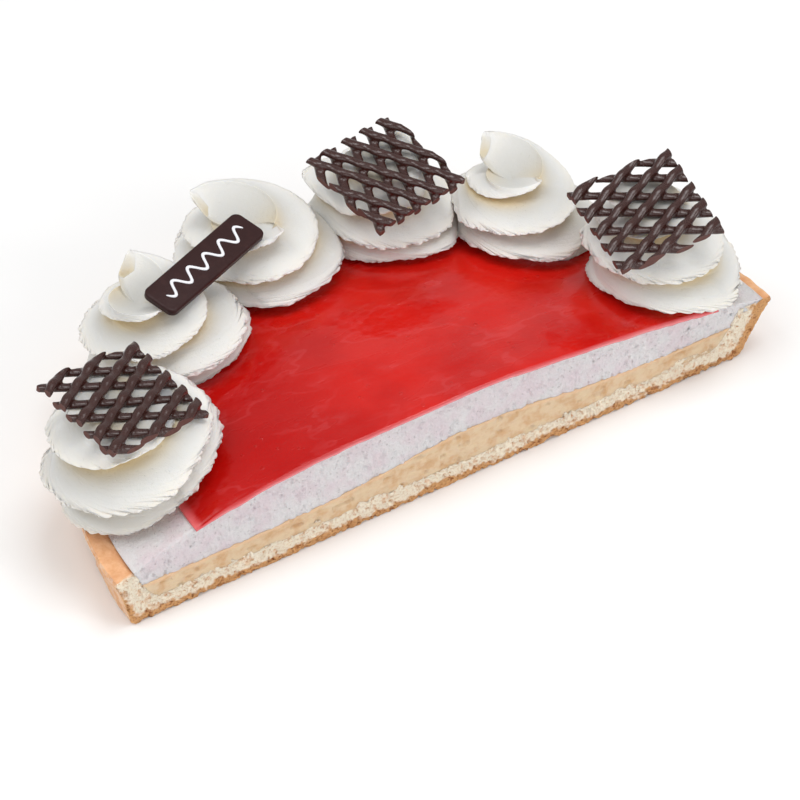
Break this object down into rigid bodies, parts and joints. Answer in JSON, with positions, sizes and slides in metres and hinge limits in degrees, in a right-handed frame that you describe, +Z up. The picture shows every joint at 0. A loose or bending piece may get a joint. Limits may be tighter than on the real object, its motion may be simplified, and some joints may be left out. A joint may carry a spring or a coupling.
{
  "type": "strawberry tart",
  "caption": "Half of a round shortcrust tart with custard, mousse and red strawberry glaze, a border of piped cream rosettes, chocolate lattices and a bare chocolate plaque.",
  "frame": {"origin": "on the flat underside of the crust, on the tart's middle line, 60 mm behind the straight cut", "axes": "+X along the cut, +Y from the cut towards the round back, +Z up; the cut lies at y = -0.060 m"},
  "size_m": [0.284, 0.1499, 0.0781],
  "materials": {
    "pastry": "baked shortcrust, matte and crumbly, browner underneath",
    "custard": "pale set custard, satin",
    "mousse": "light mousse, matte with fine pores",
    "glaze": "clear red strawberry glaze, wet gloss",
    "cream": "whipped cream, soft matte",
    "chocolate": "dark chocolate, low gloss"
  },
  "bodies": {
    "root": {"crust": "pastry", "custard": "custard", "mousse": "mousse", "glaze": "glaze", "cream_1": "cream", "cream_2": "cream", "cream_3": "cream", "cream_4": "cream", "cream_5": "cream", "cream_6": "cream", "lattice_1": "chocolate", "lattice_2": "chocolate", "lattice_3": "chocolate", "plaque": "chocolate"}
  },
  "joints": []
}
